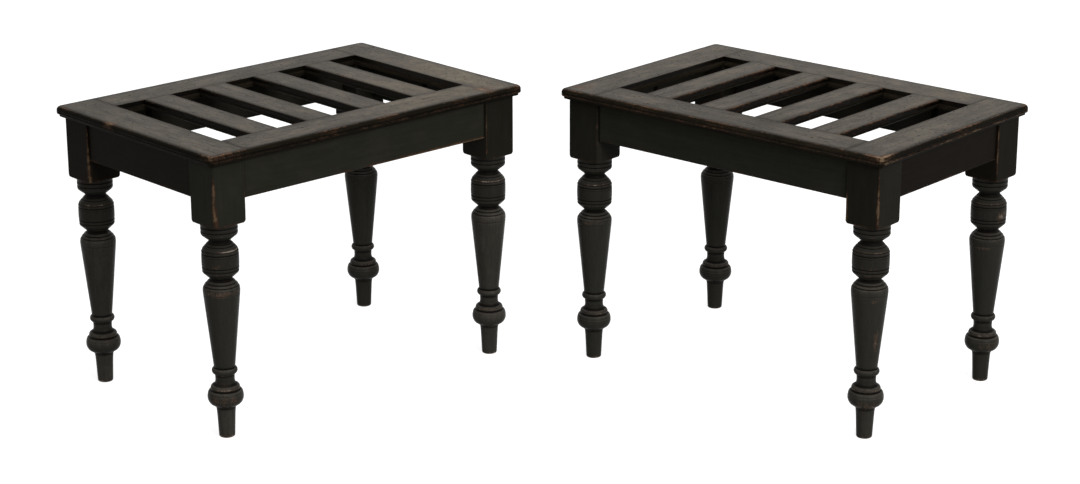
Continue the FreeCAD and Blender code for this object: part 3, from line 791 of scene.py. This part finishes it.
# Colours and amounts of each finish. The top has been rubbed to grey, its edges are darker, the frame has
# kept its black, and the turned parts have a skin of old polish.
LOOK_PARTS = (
    "black", "brown", "rubbed", "dusty", "yellow", "thin", "wood", "pale wood", "tint",
    "sheen", "roughness", "pits", "streaks", "relief", "mottling", "cracks")
LOOKS = {
    "ebonised_pine_top": (
        "#191611", "#2b261f", "#49433b", "#6d665c", "#7b7161", "#5c4536", "#7c6148", "#a08a70", "#fffaf2",
        0.018, 0.36, 0.67, 1.0, 1.0, 0.85, 0.8),
    "ebonised_pine_edge": (
        "#0f0d0a", "#18150f", "#2b241b", "#40372a", "#4a4030", "#33251c", "#524232", "#76654e", "#fff6e8",
        0.01, 0.42, 0.72, 0.5, 0.8, 1.0, 0.3),
    "ebonised_pine_frame": (
        "#130f0b", "#17130e", "#25251f", "#292924", "#302e28", "#33251c", "#4a3b2d", "#63523f", "#fffef8",
        0.01, 0.38, 0.75, 0.2, 0.6, 0.15, 0.15),
    "ebonised_pine_turned": (
        "#282723", "#2d2c27", "#3d3a35", "#48443e", "#57524a", "#44382f", "#6d6053", "#9c948a", "#fffdf2",
        0.026, 0.28, 0.75, 0.05, 0.5, 0.6, 0.15),
}
# Colour of pits, grime and painted shade, how softly a pit begins, what scuffs and bands add to the
# roughness on average, and the height of the relief
SOOT_AND_SHADE, PIT_EDGE, SHINE_SPREAD, RELIEF = "#060504", 0.07, 0.35, 0.25 * MM


def ebonised(name, look):
    """Ebonised pine: a black iron and logwood stain under old shellac, rubbed through on the edges.

    To the eye it is brown-black with fine darker and lighter lines of grain, a soft sheen, reddish brown
    where the stain is thin and the colour of old pine where it is gone.
    """
    material = bpy.data.materials.new(name)
    tree = new_tree(material)
    look = dict(zip(LOOK_PARTS, look))
    known = {part: linear(value) if isinstance(value, str) else value for part, value in look.items()}
    known |= {"soot": linear(SOOT_AND_SHADE), "full pits": look["pits"] + PIT_EDGE}
    known["even roughness"] = look["roughness"] - SHINE_SPREAD
    # Of these fields, one carries grime and painted shade, and one rubbing and tone with a painted highlight
    for field, output in (("grain", "Vector"), ("wear", "Fac"), ("grime", "Fac"), ("rub", "Fac")):
        known[field] = node(tree, "Attribute", {"attribute_name": field}).outputs[output]
    add_steps(tree, known, EBONISED_PINE)
    bump = node(tree, "Bump", None, {
        "Height": known["height"], "Distance": RELIEF, "Strength": look["relief"]})
    shader = node(tree, "BsdfPrincipled", None, {
        "Base Color": known["colour"], "Roughness": known["shine"], "Normal": bump.outputs[0], "IOR": 1.5,
        "Specular IOR Level": look["sheen"], "Specular Tint": known["tint"]})
    node(tree, "OutputMaterial", None, {"Surface": shader.outputs[0]})
    return material


# Drawn steel of a wood screw with spots of rust
OLD_SCREW_STEEL = (
    ("spot place", "stretch", "place", per_mm(1.5)), ("spots", "noise", "spot place", 1.0, 3.0, 0.6),
    ("rust", "rise", "spots", 0.42, 0.62),
    ("colour", "blend", "rust", "steel", "brown"),
    ("shine", "times_plus", "rust", 0.4, 0.35),
)


def screw_steel():
    """Steel wood screws, browned with age in their pockets: dull grey with brown spots."""
    material = bpy.data.materials.new("old_screw_steel")
    tree = new_tree(material)
    known = {"steel": linear("#8a8680"), "brown": linear("#4b2e1d")}
    known["place"] = node(tree, "TexCoord").outputs["Object"]
    add_steps(tree, known, OLD_SCREW_STEEL)
    shader = node(tree, "BsdfPrincipled", None, {
        "Base Color": known["colour"], "Metallic": 0.8, "Roughness": known["shine"]})
    node(tree, "OutputMaterial", None, {"Surface": shader.outputs[0]})
    return material


FINISHES = {}


def finish(name):
    """A finish by its name, made once."""
    if name not in FINISHES:
        FINISHES[name] = ebonised(name, LOOKS[name]) if name in LOOKS else screw_steel()
    return FINISHES[name]


# The studio


# The camera as fitted to the photograph: place in metres, tilt and roll in degrees, lens and sensor in mm
CAMERA_PLACE = (-0.0039, -4.0357, 1.5112)
CAMERA_TILT, CAMERA_ROLL, CAMERA_LENS, SENSOR_WIDTH = 17.87, -0.087, 89.15, 36.0
# Strength of the world's own light, half the floor in metres, and the colour and glow seen of the floor
WORLD_LIGHT, FLOOR_HALF = 0.12, 15.0
WHITE, SEEN_FLOOR, SEEN_GLOW = [1.0, 1.0, 1.0, 1.0], [0.5, 0.5, 0.5, 1.0], 0.88
# Softboxes: their size, and of each the place and what it faces in metres, and the power in watts
SOFTBOX_SIZE = 2.4
SOFTBOXES = {
    "top_light": ((0.2, -0.3, 3.2), (0, 0, 0.3), 44),
    "key_light": ((3.6, -5.2, 3.2), (0, 0, 0.25), 308),
    "fill_light": ((-3.6, -5.4, 2.6), (0, 0, 0.25), 48),
}


def seen_share(tree):
    """1 for what is seen straight, in a reflection or through something, and 0 for light on the wood."""
    path = node(tree, "LightPath")
    known = {ray: path.outputs[f"Is {ray} Ray"] for ray in ("Camera", "Glossy", "Transmission")}
    rows = ("either", "larger", "Camera", "Glossy"), ("seen", "larger", "either", "Transmission")
    add_steps(tree, known, rows)
    return known["seen"]


def studio_floor(colour):
    """A white floor. Straight views and reflections see it near white, and it keeps a soft shadow."""
    mesh = bpy.data.meshes.new("studio_floor")
    corners = [(x * FLOOR_HALF, y * FLOOR_HALF, 0) for x, y in ((-1, -1), (1, -1), (1, 1), (-1, 1))]
    mesh.from_pydata(corners, [], [(0, 1, 2, 3)])
    floor = add_object("studio_floor", mesh)
    material = bpy.data.materials.new("white_studio_floor")
    tree = new_tree(material)
    plain = node(tree, "BsdfDiffuse", None, {"Color": [*colour, 1.0]})
    soft = node(tree, "BsdfDiffuse", None, {"Color": SEEN_FLOOR})
    glow = node(tree, "Emission", None, {"Color": WHITE, "Strength": SEEN_GLOW})
    lit = node(tree, "AddShader", None, {0: soft.outputs[0], 1: glow.outputs[0]})
    mixed = node(tree, "MixShader", None, {0: seen_share(tree), 1: plain.outputs[0], 2: lit.outputs[0]})
    node(tree, "OutputMaterial", None, {"Surface": mixed.outputs[0]})
    mesh.materials.append(material)


def studio_world():
    """Even light from all round, which straight views and reflections see as white."""
    world = bpy.data.worlds.new("studio")
    bpy.context.scene.world = world
    tree = new_tree(world)
    known = {"seen": seen_share(tree)}
    add_steps(tree, known, (("strength", "times_plus", "seen", 1 - WORLD_LIGHT, WORLD_LIGHT),))
    light = node(tree, "Background", None, {"Color": WHITE, "Strength": known["strength"]})
    node(tree, "OutputWorld", None, {"Surface": light.outputs[0]})


def softbox(name, place, aim, power):
    """A square soft light that faces a point."""
    data = bpy.data.lights.new(name, "AREA")
    data.shape = "SQUARE"
    data.size = SOFTBOX_SIZE
    data.energy = power
    lamp = add_object(name, data)
    lamp.location = place
    away = np.array(place, float) - np.array(aim, float)
    level = math.hypot(away[0], away[1])
    lamp.rotation_euler = (math.atan2(level, away[2]), 0, math.atan2(away[1], away[0]) + math.pi / 2)


def studio_camera():
    """The camera, where the photograph was taken from."""
    data = bpy.data.cameras.new("camera")
    data.sensor_width = SENSOR_WIDTH
    data.sensor_fit = "HORIZONTAL"
    data.lens = CAMERA_LENS
    camera = add_object("camera", data)
    camera.location = CAMERA_PLACE
    tilt = Euler((math.radians(90 - CAMERA_TILT), 0, 0)).to_matrix()
    roll = Euler((0, 0, math.radians(CAMERA_ROLL))).to_matrix()
    camera.rotation_euler = (tilt @ roll).to_euler()
    bpy.context.scene.camera = camera


# Operators


def pieces(names):
    """Each stool with each of its like pieces' names, and a number for the pair: 10 a stool and 1 a piece."""
    return [
        (stool, 10 * side_number + number, name)
        for side_number, stool in enumerate(STOOLS.values()) for number, name in enumerate(names)]


class STOOLS_OT_stage(bpy.types.Operator):
    """Floor, lights and camera."""

    bl_idname = "stools.stage"
    bl_label = "Studio"

    def execute(self, context):
        context.scene.view_settings.view_transform = "Standard"
        studio_floor(context.scene.stool_colours.floor)
        studio_world()
        for name, settings in SOFTBOXES.items():
            softbox(name, *settings)
        studio_camera()
        return {"FINISHED"}


# Each leg in three rows. First the wear of its head's arrises, anticlockwise from the one between the right
# and back faces: amount, width in mm, and start and end as shares of the head's height. Then the worn spots
# of its turned part: height and half height in mm, the angle that they face and half of their angle in
# degrees, and amount. Last how much lighter its black is: on the turned part, less above the drum, on the
# head, and more at the foot.
FAINT = (0.3, 1.5, -0.2, 1.2)
WORN_LEGS = {
    ("left", "front_left"): (
        (FAINT, (0.35, 2.0, -0.2, 0.5), (0.92, 4.8, -0.2, 0.85), (0.85, 2.4, -0.2, 0.95)),
        ((231, 5, 220, 90, 0.42), (276, 9, 235, 60, 0.3), (297.2, 1.5, 268, 35, 0.7),
         (100.8, 1.3, 230, 50, 0.55), (62, 9, 240, 80, 0.32), (86, 5, 215, 60, 0.25)),
        (0.1, 0.85, 0.5)),
    ("left", "front_right"): (
        (FAINT, FAINT, (0.72, 1.8, 0.0, 1.2), (0.5, 1.8, -0.2, 0.5)),
        ((297.2, 1.3, 225, 60, 0.5), (180, 22, 215, 25, 0.14), (50, 2, 230, 60, 0.3)),
        (0.5, 0.5, 0.0)),
    ("left", "back_right"): ((FAINT, FAINT, FAINT, FAINT), (), (0.0, 0.5, 0.0)),
    ("left", "back_left"): (
        (FAINT, (0.3, 1.6, 0.0, 1.0), (1.15, 3.6, -0.2, 0.9), (0.45, 1.8, -0.2, 0.5)),
        ((297.2, 1.3, 225, 60, 0.3), (100.8, 1.2, 230, 50, 0.3)),
        (0.4, 0.25, 0.4)),
    ("right", "front_left"): (
        (FAINT, FAINT, (0.4, 1.6, -0.2, 0.6), (0.52, 1.5, -0.2, 1.2)),
        ((297.2, 1.3, 300, 60, 0.3), (234, 3, 300, 60, 0.2)),
        (0.0, 0.6, 0.1)),
    ("right", "front_right"): (
        ((0.45, 1.8, -0.2, 0.7), FAINT, (1.7, 3.2, -0.2, 0.5), (1.0, 3.0, -0.2, 1.2)),
        ((57, 7, 305, 60, 0.42), (158, 18, 338, 14, 0.55), (222, 4, 322, 36, 0.42),
         (270, 10, 295, 60, 0.26), (100.8, 1.3, 300, 50, 0.3), (297.2, 1.3, 305, 60, 0.3)),
        (0.2, 0.5, 0.2)),
    ("right", "back_right"): (
        ((0.5, 2.0, -0.2, 0.8), FAINT, (0.4, 1.6, -0.2, 0.5), (0.72, 2.2, -0.2, 1.2)),
        ((278, 10, 348, 24, 0.8), (226, 3, 280, 45, 0.5), (297.2, 1.3, 320, 50, 0.3),
         (63, 7, 330, 50, 0.25)),
        (0.0, 0.25, 0.0)),
    ("right", "back_left"): ((FAINT, FAINT, FAINT, FAINT), (), (0.0, 0.5, 0.0)),
}


class STOOLS_OT_legs(bpy.types.Operator):
    """Eight legs, turned below a square head."""

    bl_idname = "stools.legs"
    bl_label = "Legs"

    def execute(self, context):
        finishes = [finish("ebonised_pine_turned")] * 2 + [finish("ebonised_pine_frame")]
        for stool, number, corner in pieces(CORNERS):
            surface = leg_surface(stool, corner, *WORN_LEGS[stool.side, corner], 100 + number)
            add_piece(stool, "leg_" + corner, "turned", *surface, finishes)
        return {"FINISHED"}


# More wear of an apron's lower arris: its middle and half length as shares of half the apron, and amount
WORN_APRONS = {("left", "apron_front"): (0.66, 0.45, 0.95)}
# How far each apron's black has faded to olive, in the order of APRONS
APRON_TONES = {"left": (0.85, 0.7, 0.6, 0.35), "right": (1.0, 0.0, 0.6, 0.7)}


class STOOLS_OT_aprons(bpy.types.Operator):
    """Four aprons to each stool, with the pockets for the top's screws."""

    bl_idname = "stools.aprons"
    bl_label = "Aprons"

    def execute(self, context):
        for stool, number, name in pieces(APRONS):
            turns = number % 10
            tone = APRON_TONES[stool.side][turns]
            surface = apron_surface(stool, "apron_" + name, turns, tone, 200 + number)
            add_piece(stool, "apron_" + name, "planed", *surface, [finish("ebonised_pine_frame")])
        return {"FINISHED"}


# Half the length and depth of each top
TOP_HALF = {side: STOOLS[side].box("end_board_right")[1][:2] for side in SIDES}
# Wear of the moulded edges of each top, left, right, front and back: amounts along the crown and along the
# lower edge, and dust
WORN_NOSES = {
    "left": ((0.3, 0.2, 0.1), (0.3, 0.35, 0.1), (0.24, 0.45, 0.15), (0.2, 0.2, 0.1)),
    "right": ((0.3, 0.3, 0.4), (0.42, 0.75, 0.05), (0.38, 0.5, 0.4), (0.25, 0.2, 0.1)),
}
# Worn spots of each top: place as shares of half the length and half the depth, radius in mm and amount
WORN_SPOTS = {
    "left": (
        (-0.97, -0.95, 20, 0.52), (-0.86, -0.98, 22, 0.34), (0.80, -0.88, 20, 0.85), (0.97, -0.97, 22, 0.5),
        (-0.97, 0.95, 22, 0.4), (-0.98, 0.28, 13, 0.8), (-0.25, -0.98, 34, 0.3), (0.1, -0.98, 22, 0.4),
        (0.55, -0.98, 30, 0.3),
    ),
    "right": (
        (0.97, -0.95, 24, 0.62), (-0.93, -0.84, 24, 0.8), (0.97, 0.95, 18, 0.35), (-0.45, -0.98, 45, 0.3),
        (0.05, -0.98, 40, 0.35), (0.98, 0.1, 40, 0.3),
    ),
}
# More of the rubbing of each top, or less below 0, in the same way
RUBBED_SPOTS = {
    "left": (
        (0.95, -0.3, 130, 0.9), (0.4, -0.9, 110, 0.5), (0.1, 0.1, 110, -0.14), (-0.2, -0.85, 60, -0.3),
        (-0.8, 0.6, 60, -0.3)),
    "right": (
        (-0.8, 0.3, 150, 0.35), (0.6, -0.7, 90, 0.2), (0.5, 0.9, 160, 0.4), (0.2, -0.85, 90, -0.5),
        (0.8, -0.9, 50, -0.4), (-0.35, -0.9, 70, -0.3)),
}
# Wear of an edge: amount of its upper line and of its lower edge, that line's distance from the edge and its
# width, how much less its surroundings are rubbed, and dust. All moulded edges have the same line.
NOSE_LINE = (4.2 * MM, 1.5 * MM, 0.9)
END_BOARD_JOINT = (0.25, 0.2, 0.5 * MM, 1.2 * MM, 0.5, 0.2)
LONG_BOARD_JOINT = (0.25, 0.2, 0.5 * MM, 1.0 * MM, 0.5, 0.2)
SLAT_END = (0.15, 0.1, 0.3 * MM, 0.8 * MM, 0.3, 0.0)
SLAT_SIDE = {
    "left": (0.22, 0.12, 1.0 * MM, 4.0 * MM, 0.7, 0.1), "right": (0.42, 0.12, 1.0 * MM, 4.0 * MM, 0.7, 0.1)}


def add_board(stool, part, suffix, box, profiles, moulded, strengths, joints, order, seed):
    """Shapes and wears one board, and puts it in place of its node."""
    surface = board_surface(stool, *box, profiles, moulded, strengths, joints, order, seed)
    add_piece(stool, part, suffix, *surface, [finish("ebonised_pine_top"), finish("ebonised_pine_edge")])


def add_moulded_board(stool, part, box, moulded, joint_wear, joints, order, seed):
    """A board at the outside of the top, moulded on some edges and plain on the others."""
    joint_arris = bpy.context.scene.stool_sizes.joint_arris
    profiles, strengths = {}, []
    for side, (crown, lip, dust) in zip(BOARD_EDGES, WORN_NOSES[stool.side]):
        profiles[side] = nose_profiles() if moulded[side] else plain_profiles(joint_arris, joint_arris)
        strengths.append((crown, lip, *NOSE_LINE, dust) if moulded[side] else joint_wear)
    add_board(stool, part, "moulded", box, profiles, moulded, strengths, joints, order, seed)


class STOOLS_OT_end_boards(bpy.types.Operator):
    """Two end boards to each stool, moulded on three sides."""

    bl_idname = "stools.end_boards"
    bl_label = "End boards"

    def execute(self, context):
        for stool, number, end in pieces(("left", "right")):
            part = "end_board_" + end
            moulded = {"left": end == "left", "right": end == "right", "front": True, "back": True}
            add_moulded_board(
                stool, part, stool.box(part), moulded, END_BOARD_JOINT, [False] * 4, (1, 0, 2), 300 + number)
        return {"FINISHED"}


class STOOLS_OT_long_boards(bpy.types.Operator):
    """Two long boards to each stool, between the end boards and moulded on the outside."""

    bl_idname = "stools.long_boards"
    bl_label = "Long boards"

    def execute(self, context):
        for stool, number, edge in pieces(("front", "back")):
            part = "long_board_" + edge
            low, high = stool.box(part)
            low[0], high[0] = stool.box("end_board_left")[1][0], stool.box("end_board_right")[0][0]
            moulded = {"left": False, "right": False, "front": edge == "front", "back": edge == "back"}
            add_moulded_board(
                stool, part, (low, high), moulded, LONG_BOARD_JOINT, [True, True, False, False], (0, 1, 2),
                400 + number)
        return {"FINISHED"}


class STOOLS_OT_slats(bpy.types.Operator):
    """Slats across each top, flush with the boards."""

    bl_idname = "stools.slats"
    bl_label = "Slats"

    def execute(self, context):
        settings = context.scene.stool_sizes
        sawn = plain_profiles(settings.slat_arris, settings.arris)
        joint = plain_profiles(settings.joint_arris, settings.joint_arris)
        profiles = {"left": sawn, "right": sawn, "front": joint, "back": joint}
        slats = [name for name in frame["nodes"] if name.startswith("left_slat_")]
        for stool, number, slat in pieces(range(1, len(slats) + 1)):
            low, high = stool.box(f"slat_{slat}")
            low[1], high[1] = stool.box("long_board_front")[1][1], stool.box("long_board_back")[0][1]
            strengths = [SLAT_SIDE[stool.side]] * 2 + [SLAT_END] * 2
            add_board(
                stool, f"slat_{slat}", "planed", (low, high), profiles, dict.fromkeys(BOARD_EDGES, False),
                strengths, [False, False, True, True], (1, 0, 2), 501 + number)
        return {"FINISHED"}


class STOOLS_OT_screws(bpy.types.Operator):
    """Finish of the screws in their pockets."""

    bl_idname = "stools.screws"
    bl_label = "Screws"

    def execute(self, context):
        for side in SIDES:
            screws = frame["nodes"][side + "_pocket_screws"]
            screws.data.materials.clear()
            screws.data.materials.append(finish("old_screw_steel"))
        return {"FINISHED"}


class STOOLS_PT_panel(bpy.types.Panel):
    """The steps that dress the stools, in order."""

    bl_idname = "STOOLS_PT_panel"
    bl_label = "Luggage Stools"
    bl_space_type = "VIEW_3D"
    bl_region_type = "UI"
    bl_category = "Stools"

    def draw(self, context):
        for operator in OPERATORS:
            self.layout.operator(operator.bl_idname)
        for name in StoolSizes.__annotations__:
            self.layout.prop(context.scene.stool_sizes, name)
        for name in StoolColours.__annotations__:
            self.layout.prop(context.scene.stool_colours, name)


OPERATORS = (
    STOOLS_OT_stage, STOOLS_OT_legs, STOOLS_OT_aprons, STOOLS_OT_end_boards, STOOLS_OT_long_boards,
    STOOLS_OT_slats, STOOLS_OT_screws)
CLASSES = (StoolSizes, StoolColours, *OPERATORS, STOOLS_PT_panel)


def register():
    for cls in CLASSES:
        bpy.utils.register_class(cls)
    bpy.types.Scene.stool_sizes = PointerProperty(type=StoolSizes)
    bpy.types.Scene.stool_colours = PointerProperty(type=StoolColours)


def unregister():
    del bpy.types.Scene.stool_colours
    del bpy.types.Scene.stool_sizes
    for cls in reversed(CLASSES):
        bpy.utils.unregister_class(cls)


def main():
    """Runs every step in order."""
    register()
    bpy.ops.stools.stage()
    bpy.ops.stools.legs()
    bpy.ops.stools.aprons()
    bpy.ops.stools.end_boards()
    bpy.ops.stools.long_boards()
    bpy.ops.stools.slats()
    bpy.ops.stools.screws()


if __name__ == "__main__":
    main()
